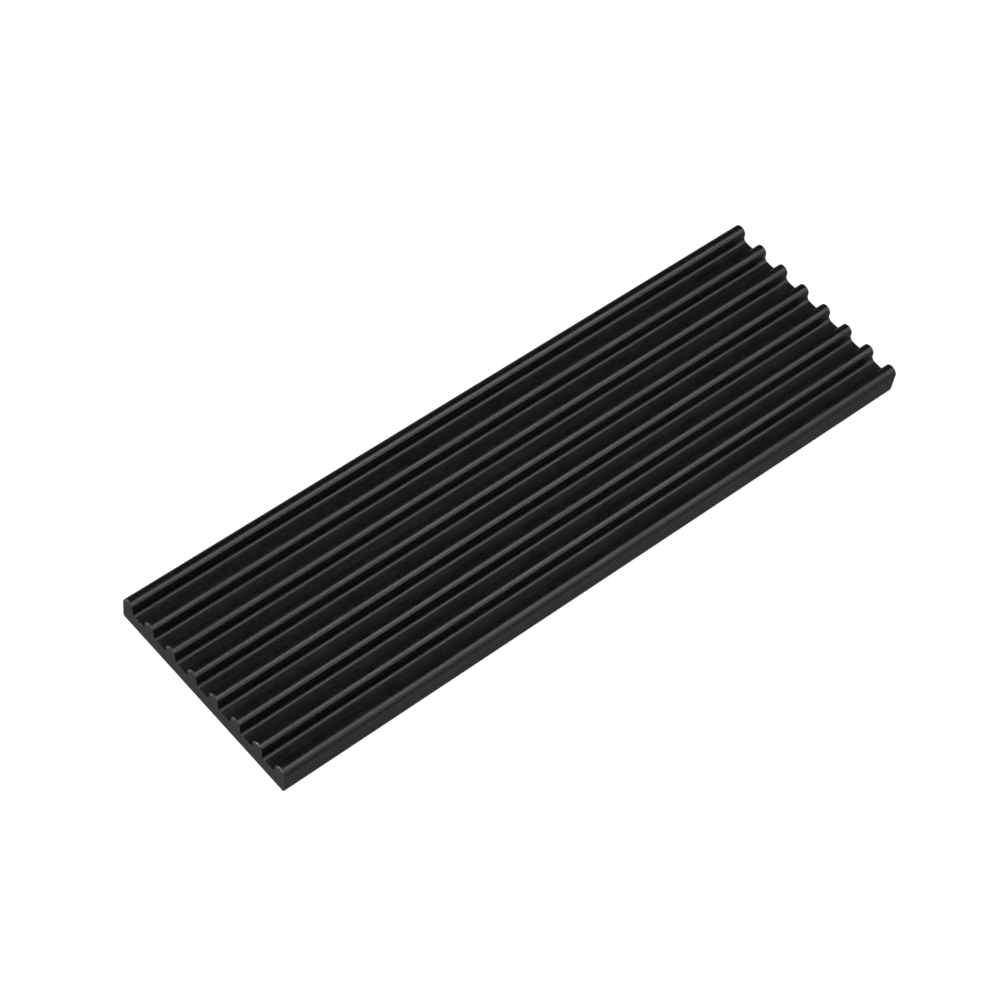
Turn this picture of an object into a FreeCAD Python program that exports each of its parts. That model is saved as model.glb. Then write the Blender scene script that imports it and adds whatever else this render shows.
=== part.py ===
import FreeCAD, Part
import math
import os
import Sketcher

# SSD heatsink: a flat plate with eight straight ribs, one aluminium extrusion sawn to length.
# X runs along the ribs, Y across them and Z up from the flat face that lies on the drive.
# The origin is in the middle of that flat face.

# Sizes in millimetres
SIZES = {
    "plate_length": 73.2,
    "plate_width": 22.0,
    "base_thickness": 1.65,
    "rib_height": 1.35,
    "rib_count": 8,
    "rib_width": 1.25,
    "edge_rib_width": 1.33,
    "root_radius": 0.45,
    "corner_radius": 0.25,
}

# The ribs are spread evenly over the width, so all the channels between them are equally wide.
PITCH = "((sizes.plate_width - 2 * sizes.edge_rib_width + sizes.rib_width) / (sizes.rib_count - 1))"
CHANNEL = f"({PITCH} - sizes.rib_width)"
TOP = "(sizes.base_thickness + sizes.rib_height)"

# The tip of a rib is a full round. On an edge rib the inner half keeps the same radius, and the
# outer half takes the rest of the rib's width.
TIP_RADIUS = "(sizes.rib_width / 2)"
OUTER_RADIUS = "(sizes.edge_rib_width - sizes.rib_width / 2)"

# The fillet at the foot of a rib is limited by the straight flank above it and by its channel.
ROOT_RADIUS = f"min(sizes.root_radius; 0.8 * (sizes.rib_height - {TIP_RADIUS}); 0.4 * {CHANNEL})"

document = FreeCAD.newDocument("ssd_heatsink")

# Sheet of sizes

sheet = document.addObject("Spreadsheet::Sheet", "sizes")
for row, (alias, value) in enumerate(SIZES.items(), start=1):
    sheet.set(f"A{row}", alias)
    sheet.set(f"B{row}", str(value))
    sheet.setAlias(f"B{row}", alias)
document.recompute()


def size(expression):
    return float(sheet.evalExpression(expression))


# Cross-sections are sketches on the body's YZ plane: the sketch's x is Y and its y is Z

START = 1
END = 2
CENTRE = 3
SKETCH_ORIGIN = (-1, 1)


def section_sketch(body, name):
    plane = next(item for item in body.Origin.OriginFeatures if item.Role == "YZ_Plane")
    sketch = body.newObject("Sketcher::SketchObject", name)
    sketch.AttachmentSupport = (plane, "")
    sketch.MapMode = "FlatFace"
    return sketch


def add_line(sketch, start, end):
    return sketch.addGeometry(Part.LineSegment(FreeCAD.Vector(*start), FreeCAD.Vector(*end)))


def add_arc(sketch, centre, radius, first_angle, last_angle):
    circle = Part.Circle(FreeCAD.Vector(*centre), FreeCAD.Vector(0, 0, 1), radius)
    first = math.radians(first_angle)
    last = math.radians(last_angle)
    return sketch.addGeometry(Part.ArcOfCircle(circle, first, last))


def constrain(sketch, kind, *terms):
    return sketch.addConstraint(Sketcher.Constraint(kind, *terms))


def bind(sketch, name, expression, kind, *terms):
    index = constrain(sketch, kind, *terms, size(expression))
    sketch.renameConstraint(index, name)
    sketch.setExpression(f"Constraints.{name}", expression)


def pad_along_length(body, name, sketch):
    pad = body.newObject("PartDesign::Pad", name)
    pad.Profile = sketch
    pad.SideType = "Symmetric"
    pad.setExpression("Length", "sizes.plate_length")
    sketch.Visibility = False
    body.Tip = pad
    document.recompute()
    return pad


heatsink = document.addObject("PartDesign::Body", "Heatsink")
heatsink.Label = "heatsink"

# Base with its two edge ribs: one trough-shaped section. The edge ribs stand flush with the long
# sides, and the corners between the sides and the flat underside are slightly rounded.

half_width = size("sizes.plate_width / 2")
inner_face = size("sizes.plate_width / 2 - sizes.edge_rib_width")
floor = size("sizes.base_thickness")
top = size(TOP)
tip = size(TIP_RADIUS)
outer = size(OUTER_RADIUS)
root = size(ROOT_RADIUS)
corner = size("sizes.corner_radius")

trough = section_sketch(heatsink, "TroughSection")
crest = half_width - outer
foot = inner_face - root

underside = add_line(trough, (corner - half_width, 0), (half_width - corner, 0))
right_corner = add_arc(trough, (half_width - corner, corner), corner, 270, 360)
right_side = add_line(trough, (half_width, corner), (half_width, top - outer))
right_outer = add_arc(trough, (crest, top - outer), outer, 0, 90)
right_inner = add_arc(trough, (crest, top - tip), tip, 90, 180)
right_flank = add_line(trough, (inner_face, top - tip), (inner_face, floor + root))
right_root = add_arc(trough, (foot, floor + root), root, 270, 360)
channel_floor = add_line(trough, (foot, floor), (-foot, floor))
left_root = add_arc(trough, (-foot, floor + root), root, 180, 270)
left_flank = add_line(trough, (-inner_face, floor + root), (-inner_face, top - tip))
left_inner = add_arc(trough, (-crest, top - tip), tip, 0, 90)
left_outer = add_arc(trough, (-crest, top - outer), outer, 90, 180)
left_side = add_line(trough, (-half_width, top - outer), (-half_width, corner))
left_corner = add_arc(trough, (corner - half_width, corner), corner, 180, 270)

# Every joint of the outline is smooth, going round from the underside
constrain(trough, "Tangent", underside, END, right_corner, START)
constrain(trough, "Tangent", right_corner, END, right_side, START)
constrain(trough, "Tangent", right_side, END, right_outer, START)
constrain(trough, "Tangent", right_outer, END, right_inner, START)
constrain(trough, "Tangent", right_inner, END, right_flank, START)
constrain(trough, "Tangent", right_flank, END, right_root, END)
constrain(trough, "Tangent", right_root, START, channel_floor, START)
constrain(trough, "Tangent", channel_floor, END, left_root, END)
constrain(trough, "Tangent", left_root, START, left_flank, START)
constrain(trough, "Tangent", left_flank, END, left_inner, START)
constrain(trough, "Tangent", left_inner, END, left_outer, START)
constrain(trough, "Tangent", left_outer, END, left_side, START)
constrain(trough, "Tangent", left_side, END, left_corner, START)
constrain(trough, "Tangent", left_corner, END, underside, START)
for line in (underside, channel_floor):
    constrain(trough, "Horizontal", line)
for line in (right_side, right_flank, left_flank, left_side):
    constrain(trough, "Vertical", line)

# The crest of each edge rib lies straight above the centres of its two arcs
constrain(trough, "Vertical", right_outer, CENTRE, right_outer, END)
constrain(trough, "Vertical", left_outer, CENTRE, left_outer, START)
constrain(trough, "Horizontal", right_outer, END, left_outer, START)
constrain(trough, "Symmetric", underside, START, underside, END, *SKETCH_ORIGIN)
for right_arc, left_arc in (
    (right_corner, left_corner),
    (right_outer, left_outer),
    (right_inner, left_inner),
    (right_root, left_root),
):
    constrain(trough, "Equal", right_arc, left_arc)

bind(trough, "width", "sizes.plate_width", "DistanceX", left_side, END, right_side, START)
bind(trough, "top", TOP, "DistanceY", *SKETCH_ORIGIN, right_outer, END)
bind(trough, "floor", "sizes.base_thickness", "DistanceY", *SKETCH_ORIGIN, channel_floor, START)
bind(trough, "corner_radius", "sizes.corner_radius", "Radius", right_corner)
bind(trough, "outer_radius", OUTER_RADIUS, "Radius", right_outer)
bind(trough, "tip_radius", TIP_RADIUS, "Radius", right_inner)
bind(trough, "root_radius", ROOT_RADIUS, "Radius", right_root)

trough_pad = pad_along_length(heatsink, "Trough", trough)

# Inner ribs: one rib with a full-round tip, upright flanks and filleted feet, repeated across the
# floor. Its section reaches half way into the base, so that it joins the base over its whole foot.

INNER_SPAN = f"({PITCH} * (sizes.rib_count - 3))"

rib_centre = size(f"{INNER_SPAN} / 2")
half_rib = size("sizes.rib_width / 2")
half_foot = half_rib + root
buried = floor / 2

rib_section = section_sketch(heatsink, "RibSection")

rib_tip = add_arc(rib_section, (rib_centre, top - tip), tip, 0, 180)
left_flank = add_line(
    rib_section, (rib_centre - half_rib, top - tip), (rib_centre - half_rib, floor + root)
)
left_root = add_arc(rib_section, (rib_centre - half_foot, floor + root), root, 270, 360)
left_end = add_line(
    rib_section, (rib_centre - half_foot, floor), (rib_centre - half_foot, buried)
)
rib_base = add_line(
    rib_section, (rib_centre - half_foot, buried), (rib_centre + half_foot, buried)
)
right_end = add_line(
    rib_section, (rib_centre + half_foot, buried), (rib_centre + half_foot, floor)
)
right_root = add_arc(rib_section, (rib_centre + half_foot, floor + root), root, 180, 270)
right_flank = add_line(
    rib_section, (rib_centre + half_rib, floor + root), (rib_centre + half_rib, top - tip)
)

constrain(rib_section, "Tangent", rib_tip, END, left_flank, START)
constrain(rib_section, "Tangent", left_flank, END, left_root, END)
constrain(rib_section, "Coincident", left_root, START, left_end, START)
constrain(rib_section, "Coincident", left_end, END, rib_base, START)
constrain(rib_section, "Coincident", rib_base, END, right_end, START)
constrain(rib_section, "Coincident", right_end, END, right_root, END)
constrain(rib_section, "Tangent", right_root, START, right_flank, START)
constrain(rib_section, "Tangent", right_flank, END, rib_tip, START)
for line in (left_flank, left_end, right_end, right_flank):
    constrain(rib_section, "Vertical", line)
constrain(rib_section, "Horizontal", rib_base)

# Each foot fillet runs out level with the floor, straight below the centre of its arc
constrain(rib_section, "Vertical", left_root, CENTRE, left_root, START)
constrain(rib_section, "Vertical", right_root, CENTRE, right_root, END)
constrain(rib_section, "Horizontal", left_root, START, right_root, END)
constrain(rib_section, "Equal", left_root, right_root)

bind(rib_section, "centre", f"{INNER_SPAN} / 2", "DistanceX", *SKETCH_ORIGIN, rib_tip, CENTRE)
bind(rib_section, "tip_centre", f"{TOP} - {TIP_RADIUS}", "DistanceY", *SKETCH_ORIGIN, rib_tip, CENTRE)
bind(rib_section, "tip_radius", TIP_RADIUS, "Radius", rib_tip)
bind(rib_section, "root_radius", ROOT_RADIUS, "Radius", left_root)
bind(rib_section, "floor", "sizes.base_thickness", "DistanceY", *SKETCH_ORIGIN, left_root, START)
bind(rib_section, "buried", "sizes.base_thickness / 2", "DistanceY", *SKETCH_ORIGIN, rib_base, START)

rib_pad = pad_along_length(heatsink, "Rib", rib_section)

inner_ribs = heatsink.newObject("PartDesign::LinearPattern", "InnerRibs")
inner_ribs.Originals = [rib_pad]
inner_ribs.Direction = (rib_section, ["H_Axis"])
inner_ribs.Reversed = True
inner_ribs.Mode = "Extent"
inner_ribs.setExpression("Length", INNER_SPAN)
inner_ribs.setExpression("Occurrences", "sizes.rib_count - 2")
heatsink.Tip = inner_ribs
document.recompute()

# Checks before anything is written

for item in document.Objects:
    if "Invalid" in item.State or "Error" in item.State:
        raise RuntimeError(f"{item.Name} failed to compute: {item.State}")
for sketch in (trough, rib_section):
    if sketch.solve() != 0 or not sketch.FullyConstrained:
        raise RuntimeError(f"{sketch.Name} isn't fully constrained")

shape = heatsink.Shape
if shape.isNull() or not shape.isValid() or len(shape.Solids) != 1:
    raise RuntimeError("the heatsink isn't one valid solid")
if rib_pad.Shape.Volume <= trough_pad.Shape.Volume or shape.Volume <= rib_pad.Shape.Volume:
    raise RuntimeError("the ribs add no metal to the base")

os.makedirs("parts", exist_ok=True)
shape.exportStep(os.path.join("parts", f"{heatsink.Label}.step"))
bounds = shape.BoundBox
print(f"heatsink: {bounds.XLength:.2f} x {bounds.YLength:.2f} x {bounds.ZLength:.2f} mm")
print(f"volume {shape.Volume:.1f} mm3, {len(shape.Faces)} faces")
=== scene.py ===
import math

import bmesh
import bpy
from mathutils import Matrix, Vector


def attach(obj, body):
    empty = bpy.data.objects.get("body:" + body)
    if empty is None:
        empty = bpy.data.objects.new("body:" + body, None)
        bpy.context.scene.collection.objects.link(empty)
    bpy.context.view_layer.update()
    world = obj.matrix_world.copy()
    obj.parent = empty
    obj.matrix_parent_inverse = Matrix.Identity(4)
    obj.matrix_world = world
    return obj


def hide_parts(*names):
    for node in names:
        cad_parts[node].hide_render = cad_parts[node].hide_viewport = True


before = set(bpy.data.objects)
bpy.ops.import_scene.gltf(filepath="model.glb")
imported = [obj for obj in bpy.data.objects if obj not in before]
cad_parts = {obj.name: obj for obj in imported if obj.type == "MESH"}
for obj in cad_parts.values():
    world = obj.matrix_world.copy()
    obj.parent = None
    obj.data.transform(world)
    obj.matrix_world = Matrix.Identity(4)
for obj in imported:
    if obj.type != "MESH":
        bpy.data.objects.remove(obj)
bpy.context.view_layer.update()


# Heatsink plate
# The real piece is one aluminium extrusion, a flat plate with eight ribs, sawn to length and then
# anodised satin black. The die leaves fine straight lines along it, and the saw leaves matte ends
# whose small broken edge carries a few bright burrs.

LENGTH = 0.0732
WIDTH = 0.022
BASE = 0.00165
RIB_HEIGHT = 0.00135
TOP = BASE + RIB_HEIGHT
RIB_COUNT = 8
RIB_WIDTH = 0.00125
EDGE_RIB_WIDTH = 0.00133
PITCH = (WIDTH - 2 * EDGE_RIB_WIDTH + RIB_WIDTH) / (RIB_COUNT - 1)
ROOT_RADIUS = 0.00045
CORNER_RADIUS = 0.00025
SAW_LEAN = 0.0002
BROKEN_EDGE = 0.00004
TIP_TURN = 0.0004
TIP_TURN_REACH = 0.00018
FLOOR_DISH = 0.000018
FLOOR_STEPS = 8
TIP_STEPS = 18
ROOT_STEPS = 10
CORNER_STEPS = 6
BROKEN_STEPS = 2
SAWN_ANGLE = math.radians(60)
# Burrs at the left end: the rib they sit on, counted from the back, and their reach across it.
# The half number is the channel floor between the first two ribs.
BURRS = (
    (0, 0.00015, 0.0007),
    (0.5, -0.0005, 0.0003),
    (6, -0.0002, 0.0004),
    (7, -0.00045, 0.0005),
)
TIP_RADIUS = RIB_WIDTH / 2
OUTER_RADIUS = EDGE_RIB_WIDTH - TIP_RADIUS
TINY = 0.000001

rib_spans = []
for number in range(RIB_COUNT):
    middle = ((RIB_COUNT - 1) / 2 - number) * PITCH
    rib_spans.append([middle - RIB_WIDTH / 2, middle + RIB_WIDTH / 2])
rib_spans[0][1] = WIDTH / 2
rib_spans[-1][0] = -WIDTH / 2

plate = bmesh.new()
bmesh.ops.create_cube(plate, size=1.0)
bmesh.ops.scale(plate, vec=(LENGTH, WIDTH, BASE), verts=plate.verts)
bmesh.ops.translate(plate, vec=(0, 0, BASE / 2), verts=plate.verts)


def cut(mesh, y):
    """A lengthwise cut through the whole mesh at y."""
    everything = mesh.verts[:] + mesh.edges[:] + mesh.faces[:]
    bmesh.ops.bisect_plane(mesh, geom=everything, dist=TINY, plane_co=(0, y, 0), plane_no=(0, 1, 0))


for low, high in rib_spans:
    cut(plate, low)
    cut(plate, high)

# The ribs rise from the strips of the top face between their flanks
for low, high in rib_spans:
    strip = [
        face
        for face in plate.faces
        if face.normal.z > 0.9 and low < face.calc_center_median().y < high
    ]
    raised = bmesh.ops.extrude_face_region(plate, geom=strip)
    bmesh.ops.delete(plate, geom=strip, context="FACES")
    tip_verts = [item for item in raised["geom"] if isinstance(item, bmesh.types.BMVert)]
    bmesh.ops.translate(plate, vec=(0, 0, RIB_HEIGHT), verts=tip_verts)
bmesh.ops.dissolve_limit(
    plate, angle_limit=math.radians(1), verts=plate.verts[:], edges=plate.edges[:]
)


def long_edges(mesh, wanted):
    """The edges along the plate whose y and z are wanted."""
    found = []
    for edge in mesh.edges:
        start, end = (vert.co for vert in edge.verts)
        if abs(start.x - end.x) > LENGTH / 2 and wanted(start.y, start.z):
            found.append(edge)
    return found


def round_edges(mesh, edges, radius, segments):
    bmesh.ops.bevel(
        mesh,
        geom=edges,
        offset=radius,
        offset_type="OFFSET",
        segments=segments,
        profile=0.5,
        affect="EDGES",
        clamp_overlap=False,
        material=-1,
    )


def near(value, target):
    return abs(value - target) < 10 * TINY


inner_face = WIDTH / 2 - EDGE_RIB_WIDTH
round_edges(
    plate,
    long_edges(plate, lambda y, z: near(z, TOP) and abs(y) <= inner_face + TINY),
    TIP_RADIUS - TINY / 2,
    TIP_STEPS,
)
round_edges(
    plate,
    long_edges(plate, lambda y, z: near(z, TOP) and near(abs(y), WIDTH / 2)),
    OUTER_RADIUS - TINY / 2,
    TIP_STEPS,
)
round_edges(
    plate,
    long_edges(plate, lambda y, z: near(z, BASE) and abs(y) <= inner_face + TINY),
    ROOT_RADIUS,
    ROOT_STEPS,
)
round_edges(
    plate,
    long_edges(plate, lambda y, z: near(z, 0) and near(abs(y), WIDTH / 2)),
    CORNER_RADIUS,
    CORNER_STEPS,
)

# The die leaves each channel floor very slightly dished
for nearer, farther in zip(rib_spans[1:], rib_spans[:-1]):
    low, high = nearer[1] + ROOT_RADIUS, farther[0] - ROOT_RADIUS
    for step in range(1, FLOOR_STEPS):
        cut(plate, low + (high - low) * step / FLOOR_STEPS)
    for vert in plate.verts:
        if low < vert.co.y < high and near(vert.co.z, BASE):
            reach = (2 * vert.co.y - low - high) / (high - low)
            vert.co.z -= FLOOR_DISH * (1 - reach**2)

# The left end was sawn a little out of square, so that it overhangs at the top
for vert in plate.verts:
    if near(vert.co.x, -LENGTH / 2):
        vert.co.x += SAW_LEAN * (1 - vert.co.z / TOP)


def sawn_edges(mesh, wanted):
    """The sharp edges round the two ends whose middle is wanted."""
    found = []
    for edge in mesh.edges:
        middle = (edge.verts[0].co + edge.verts[1].co) / 2
        if edge.calc_face_angle() > SAWN_ANGLE and wanted(middle):
            found.append(edge)
    return found


def off_middle(spot, rib):
    """How far a spot lies behind the middle of a rib, counted from the back."""
    return spot.y - ((RIB_COUNT - 1) / 2 - rib) * PITCH


def on_tip_back(spot):
    """Whether a spot at the left end is on the crest or the back of a rib's tip."""
    if spot.x > 0 or spot.z < TOP - TIP_TURN:
        return False
    return any(-TIP_TURN / 4 < off_middle(spot, rib) < OUTER_RADIUS for rib in range(RIB_COUNT))


# The saw came through the ribs from the front and turned the metal over at the back of each tip
round_edges(plate, sawn_edges(plate, on_tip_back), TIP_TURN_REACH, BROKEN_STEPS)
round_edges(plate, sawn_edges(plate, lambda spot: True), BROKEN_EDGE, BROKEN_STEPS)
for vert in plate.verts:
    vert.co.x = max(vert.co.x, -LENGTH / 2)
    vert.co.z = min(vert.co.z, TOP)
bmesh.ops.dissolve_degenerate(plate, dist=TINY / 5, edges=plate.edges)

# The finishes by face, in the order in which their materials are added below; the skin is 0.
# Tips and burrs are on the rounded rim of the left end, the tips worn and painted lighter low down as
# painted light, and its flat face is only sawn.
SAWN_END = 1
TURNED_TIP_WITH_PAINTED_LIGHT = 2
BRIGHT_BURR = 3
FACING_END = 0.1
FLAT_END = 0.99
for face in plate.faces:
    if abs(face.normal.x) < FACING_END:
        continue
    face.material_index = SAWN_END
    spot = face.calc_center_median()
    if spot.x > 0 or abs(face.normal.x) > FLAT_END or spot.z < BASE - FLOOR_DISH - TINY:
        continue
    # Turned tips: worn black on the crest, and painted light on their lower part
    if on_tip_back(spot):
        face.material_index = TURNED_TIP_WITH_PAINTED_LIGHT
    if any(low < off_middle(spot, rib) < high for rib, low, high in BURRS):
        face.material_index = BRIGHT_BURR

plate_mesh = bpy.data.meshes.new("heatsink_extrusion")
bmesh.ops.recalc_face_normals(plate, faces=plate.faces)
plate.to_mesh(plate_mesh)
plate.free()
plate_mesh.shade_smooth()
extrusion = bpy.data.objects.new("heatsink_extrusion", plate_mesh)
bpy.context.scene.collection.objects.link(extrusion)

# Flat floors and flanks stay flat in the shading, and only the rounds turn
flat_faces = extrusion.modifiers.new("flat_faces", "WEIGHTED_NORMAL")
flat_faces.weight = 100


class Value:
    """A number that varies over a surface, with arithmetic that adds Math nodes."""

    def __init__(self, nodes, socket):
        self.nodes = nodes
        self.socket = socket

    def calculate(self, operation, *terms):
        inputs = dict(enumerate(terms))
        return self.nodes.add("ShaderNodeMath", {"operation": operation}, inputs)

    def __add__(self, other):
        return self.calculate("ADD", self, other)

    __radd__ = __add__

    def __sub__(self, other):
        return self.calculate("SUBTRACT", self, other)

    def __rsub__(self, other):
        return self.calculate("SUBTRACT", other, self)

    def __mul__(self, other):
        return self.calculate("MULTIPLY", self, other)

    __rmul__ = __mul__

    def __abs__(self):
        return self.calculate("ABSOLUTE", self)


class Nodes:
    """The shader nodes of one finish, or of the studio's air."""

    # A Mix node's colour sockets share their names with others, so they go by number
    FIRST_COLOUR = 6
    SECOND_COLOUR = 7

    def __init__(self, owner):
        owner.use_nodes = True
        self.tree = owner.node_tree
        self.tree.nodes.clear()

    def add(self, kind, settings=None, inputs=None, outputs=None):
        """A new node; gives the outputs that are named, or else the first one in use."""
        made = self.tree.nodes.new(kind)
        for name, setting in (settings or {}).items():
            setattr(made, name, setting)
        for key, term in (inputs or {}).items():
            if isinstance(term, Value):
                self.tree.links.new(term.socket, made.inputs[key])
            else:
                made.inputs[key].default_value = term
        if outputs:
            return [Value(self, made.outputs[name]) for name in outputs]
        return next((Value(self, socket) for socket in made.outputs if socket.enabled), None)

    def place(self):
        return self.add("ShaderNodeTexCoord", outputs=["Object"])[0]

    def noise(self, place, scale, detail=2.0, turn=(0, 0, 0)):
        """Cloudy noise from -1 to 1, with its own scale along each axis, in features per metre."""
        spot = self.add("ShaderNodeMapping", None, {"Vector": place, "Rotation": turn, "Scale": scale})
        cloud = self.add("ShaderNodeTexNoise", None, {"Vector": spot, "Scale": 1.0, "Detail": detail})
        return cloud * 2 - 1

    def ramp(self, value, low, high):
        """0 below low, 1 above high, and smooth between them."""
        inputs = {"Value": value, "From Min": low, "From Max": high}
        return self.add("ShaderNodeMapRange", {"interpolation_type": "SMOOTHSTEP"}, inputs)

    def blend(self, amount, first, second):
        inputs = {"Factor": amount, self.FIRST_COLOUR: first, self.SECOND_COLOUR: second}
        return self.add("ShaderNodeMix", {"data_type": "RGBA"}, inputs)


# The skin has die lines, broader streaks from the die's wear, slow waviness and a fine etched grain
DIE_LINE_DEPTH = 0.00000025
STREAK_DEPTH = 0.0000045
WAVE_DEPTH = 0.000009
DRIFT_DEPTH = 0.00004
GRAIN_DEPTH = 0.0000028
LINES_ON_TIPS = 0.15
END_REACH = 0.0016
SIDE_START = 0.0003
SIDE_FULL = 0.0001
HANDLED_START = 0.0009
FLOOR_EDGE = 0.00015
SKIN_DARK = (0.0005, 0.0004, 0.0005, 1)
SKIN_PALE = (0.0055, 0.0053, 0.0054, 1)
SKIN_WARM = (0.0070, 0.0040, 0.0046, 1)
SKIN_ROUGHNESS = 0.31
COAT_IOR = 1.45

skin_material = bpy.data.materials.new("black_anodised_skin")
skin = Nodes(skin_material)
place = skin.place()
along, across, up = skin.add("ShaderNodeSeparateXYZ", None, {"Vector": place}, ["X", "Y", "Z"])
near_end = skin.ramp(abs(along), LENGTH / 2 - END_REACH, LENGTH / 2)
long_side = skin.ramp(abs(across), WIDTH / 2 - SIDE_START, WIDTH / 2 - SIDE_FULL)
handled = skin.ramp(abs(across), WIDTH / 2 - HANDLED_START, WIDTH / 2 - SIDE_START)
floor = (1 - skin.ramp(up, BASE, BASE + FLOOR_EDGE)) * (1 - handled)
die_lines = skin.noise(place, (12, 5500, 5500), 1.0)
streaks = skin.noise(place, (25, 2300, 2300), 1.0)
waves = skin.noise(place, (110, 600, 600), 1.0)
drift = skin.noise(place, (14, 260, 260), 1.0)
patches = skin.noise(place, (330, 520, 520))
grain = skin.noise(place, (4800, 4800, 4800))
speckle = skin.noise(place, (2600, 2600, 2600))

drawn = die_lines * DIE_LINE_DEPTH + streaks * STREAK_DEPTH
drawn = drawn * (LINES_ON_TIPS + (1 - LINES_ON_TIPS) * floor)
unlevel = waves * WAVE_DEPTH + drift * DRIFT_DEPTH
height = drawn + unlevel + grain * GRAIN_DEPTH * (1 + floor + long_side)
relief = skin.add("ShaderNodeBump", None, {"Strength": 1.0, "Distance": 1.0, "Height": height})

# The black is thinner and a little warmer at the ends and on the long sides
mottling = skin.ramp(streaks * 0.4 + speckle * 0.9 + patches * 0.3, -0.6, 0.6)
warmth = near_end * 0.5 + long_side * (0.55 + 0.4 * patches + 0.5 * speckle)
black = skin.blend(warmth, skin.blend(mottling, SKIN_DARK, SKIN_PALE), SKIN_WARM)
uneven = 0.06 * streaks + 0.09 * patches + 0.06 * drift + 0.08 * grain + 0.06 * speckle
roughness = SKIN_ROUGHNESS + 0.08 * floor + 0.04 * handled + 0.09 * long_side + uneven
surface = skin.add(
    "ShaderNodeBsdfPrincipled",
    None,
    {"Base Color": black, "Roughness": roughness, "IOR": COAT_IOR, "Normal": relief},
)
skin.add("ShaderNodeOutputMaterial", None, {"Surface": surface})
extrusion.data.materials.append(skin_material)

# The saw leaves slanting scratches, and its ends take the black more thinly
SAW_MARK_DEPTH = 0.0000022
SAW_MARK_TURN = (math.radians(62), 0, 0)
PITTING_DEPTH = 0.0000008
SAWN_DARK = (0.019, 0.0175, 0.018, 1)
SAWN_PALE = (0.032, 0.0295, 0.0305, 1)
SAWN_ROUGHNESS = 0.5

end_material = bpy.data.materials.new("sawn_end")
sawn = Nodes(end_material)
place = sawn.place()
saw_marks = sawn.noise(place, (3000, 9000, 900), 2.0, SAW_MARK_TURN)
pitting = sawn.noise(place, (5000, 5000, 5000), 3.0)
height = saw_marks * SAW_MARK_DEPTH + pitting * PITTING_DEPTH
relief = sawn.add("ShaderNodeBump", None, {"Strength": 1.0, "Distance": 1.0, "Height": height})
grey = sawn.blend(sawn.ramp(saw_marks * 0.6 + pitting * 0.6, -0.7, 0.7), SAWN_DARK, SAWN_PALE)
roughness = SAWN_ROUGHNESS + 0.08 * pitting
surface = sawn.add(
    "ShaderNodeBsdfPrincipled",
    None,
    {"Base Color": grey, "Roughness": roughness, "IOR": COAT_IOR, "Normal": relief},
)
sawn.add("ShaderNodeOutputMaterial", None, {"Surface": surface})
extrusion.data.materials.append(end_material)

# The turned tips have lost some of the black on the crest; lower down their colour is painted light, a
# lighter colour where the lamps reach them less. The burrs are bare metal
TIP_DARK = (0.032, 0.030, 0.030, 1)
TIP_PALE = (0.052, 0.050, 0.050, 1)
# Painted light: the lighter colour on the lower part of the turned tips, where the lamps reach them
# less
TIP_PAINTED_LIGHT = (0.15, 0.144, 0.144, 1)
BURR_DARK = (0.10, 0.097, 0.097, 1)
BURR_PALE = (0.24, 0.235, 0.235, 1)
WORN_ROUGHNESS = 0.42


def worn_metal(name, dark, pale, lower_rim_painted_light, metallic):
    """Scuffed metal, in two shades on the crest and a third below it, which on the turned tips is
    painted light.
    """
    material = bpy.data.materials.new(name)
    worn = Nodes(material)
    place = worn.place()
    up = worn.add("ShaderNodeSeparateXYZ", None, {"Vector": place}, ["Z"])[0]
    scuffs = worn.noise(place, (9000, 9000, 9000))
    crest = worn.blend(worn.ramp(scuffs, -0.4, 0.4), dark, pale)
    # Below the crest the colour turns to the lower one, which on the turned tips is painted light
    colour = worn.blend(worn.ramp(TOP - up, TIP_TURN * 0.3, TIP_TURN * 0.8), crest, lower_rim_painted_light)
    roughness = WORN_ROUGHNESS + 0.08 * scuffs
    surface = worn.add(
        "ShaderNodeBsdfPrincipled",
        None,
        {"Base Color": colour, "Roughness": roughness, "Metallic": metallic},
    )
    worn.add("ShaderNodeOutputMaterial", None, {"Surface": surface})
    extrusion.data.materials.append(material)


# The turned tips' lower colour is painted light; the burrs keep one pale bare-metal colour below the
# crest
worn_metal("turned_tip_wear_and_painted_light", TIP_DARK, TIP_PALE, TIP_PAINTED_LIGHT, 0.0)
worn_metal("bright_burr", BURR_DARK, BURR_PALE, BURR_PALE, 1.0)

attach(extrusion, "root")
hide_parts("heatsink")


# Table
# The plate lies on a plain white table top, which keeps its soft shadow. It glows white for the
# camera, and faintly for reflections, because the satin black skin hardly mirrors it.

TABLE_SIZE = 1.5
TABLE_WHITE = 0.28
TABLE_GLOW = 0.81
TABLE_MIRRORED = 0.04

table_mesh = bpy.data.meshes.new("table_top")
table_shape = bmesh.new()
bmesh.ops.create_grid(table_shape, x_segments=1, y_segments=1, size=TABLE_SIZE)
table_shape.to_mesh(table_mesh)
table_shape.free()
table = bpy.data.objects.new("table_top", table_mesh)
bpy.context.scene.collection.objects.link(table)

table_material = bpy.data.materials.new("white_table_top")
white = Nodes(table_material)
rays = ["Is Camera Ray", "Is Glossy Ray", "Is Transmission Ray"]
seen, glossy, through = white.add("ShaderNodeLightPath", None, None, rays)
glow_level = seen * TABLE_GLOW + (glossy + through) * TABLE_MIRRORED
paper = white.add("ShaderNodeBsdfDiffuse", None, {"Color": (TABLE_WHITE, TABLE_WHITE, TABLE_WHITE, 1)})
glow = white.add("ShaderNodeEmission", None, {"Strength": glow_level})
top_coat = white.add("ShaderNodeAddShader", None, {0: paper, 1: glow})
white.add("ShaderNodeOutputMaterial", None, {"Surface": top_coat})
table.data.materials.append(table_material)


# Light
# A tall strip box with a low one under it stands to the right of the camera, a large soft box hangs
# over the plate from behind its left end, and another fills the front. The air is white for the
# camera and dim for the plate.

AIR_WHITE = 1.0
AIR_DIM = 0.04
AIR_MIRRORED = 0.056

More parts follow.
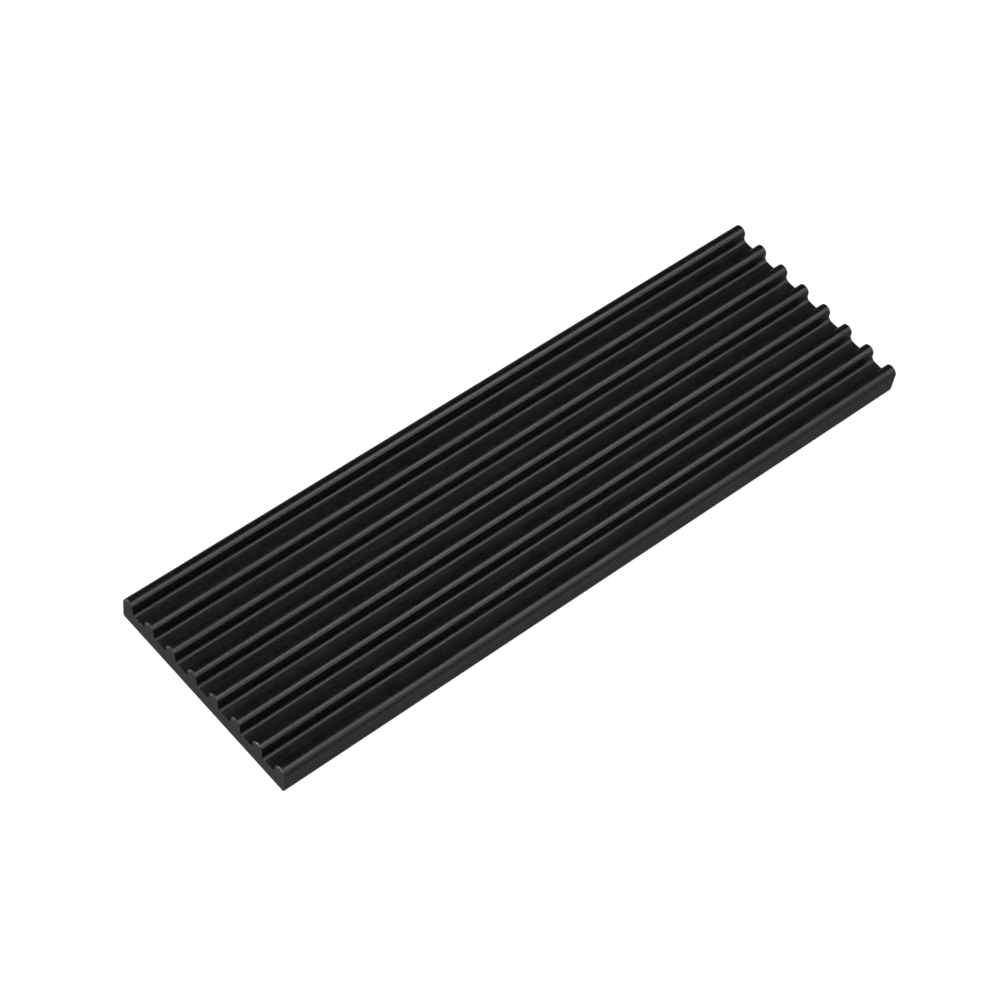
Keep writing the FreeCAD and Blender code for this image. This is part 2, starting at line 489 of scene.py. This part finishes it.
world = bpy.data.worlds.new("studio")
bpy.context.scene.world = world
air = Nodes(world)
seen, glossy, through = air.add("ShaderNodeLightPath", None, None, rays)
level = AIR_DIM + seen * (AIR_WHITE - AIR_DIM) + (glossy + through) * (AIR_MIRRORED - AIR_DIM)
background = air.add("ShaderNodeBackground", None, {"Color": (1, 1, 1, 1), "Strength": level})
air.add("ShaderNodeOutputWorld", None, {"Surface": background})


def soft_box(name, turn, lift, distance, width, height, brightness):
    """A lamp seen from the plate at turn degrees towards +X and lift degrees up over it from -Y."""
    sideways, over = math.radians(turn), math.radians(lift)
    aim = Vector(
        (math.sin(sideways), -math.cos(sideways) * math.cos(over), math.cos(sideways) * math.sin(over))
    )
    wide = (Vector((1, 0, 0)) - aim.x * aim).normalized()
    lamp = bpy.data.lights.new(name, "AREA")
    lamp.shape = "RECTANGLE"
    lamp.size = width
    lamp.size_y = height
    lamp.energy = math.pi * brightness * width * height
    lamp_object = bpy.data.objects.new(name, lamp)
    turned = Matrix((wide, aim.cross(wide), aim)).transposed()
    lamp_object.matrix_world = Matrix.Translation(aim * distance) @ turned.to_4x4()
    bpy.context.scene.collection.objects.link(lamp_object)


soft_box("strip_box", turn=26, lift=65, distance=0.6, width=0.29, height=0.4, brightness=4.0)
soft_box("low_box", turn=26, lift=24.5, distance=0.6, width=0.29, height=0.21, brightness=2.25)
soft_box("overhead_box", turn=-33, lift=110, distance=0.9, width=0.96, height=1.8, brightness=2.3)
soft_box("front_fill", turn=-35, lift=28, distance=0.9, width=0.94, height=0.58, brightness=0.85)


# Camera
# A long lens looks down on the plate from its front left corner, turned a little about its axis.

CAMERA_PLACE = (-0.140144, -0.110841, 0.239336)
CAMERA_TURN = (35.9906, -7.34833, -41.05032)
LENS = 119.768
SENSOR = 36.0

camera_data = bpy.data.cameras.new("camera")
camera_data.sensor_width = SENSOR
camera_data.lens = LENS
camera_data.clip_start = 0.01
camera_data.clip_end = 10.0
camera = bpy.data.objects.new("camera", camera_data)
camera.location = CAMERA_PLACE
camera.rotation_euler = [math.radians(angle) for angle in CAMERA_TURN]
bpy.context.scene.collection.objects.link(camera)
bpy.context.scene.camera = camera

bpy.context.scene.view_settings.view_transform = "Standard"
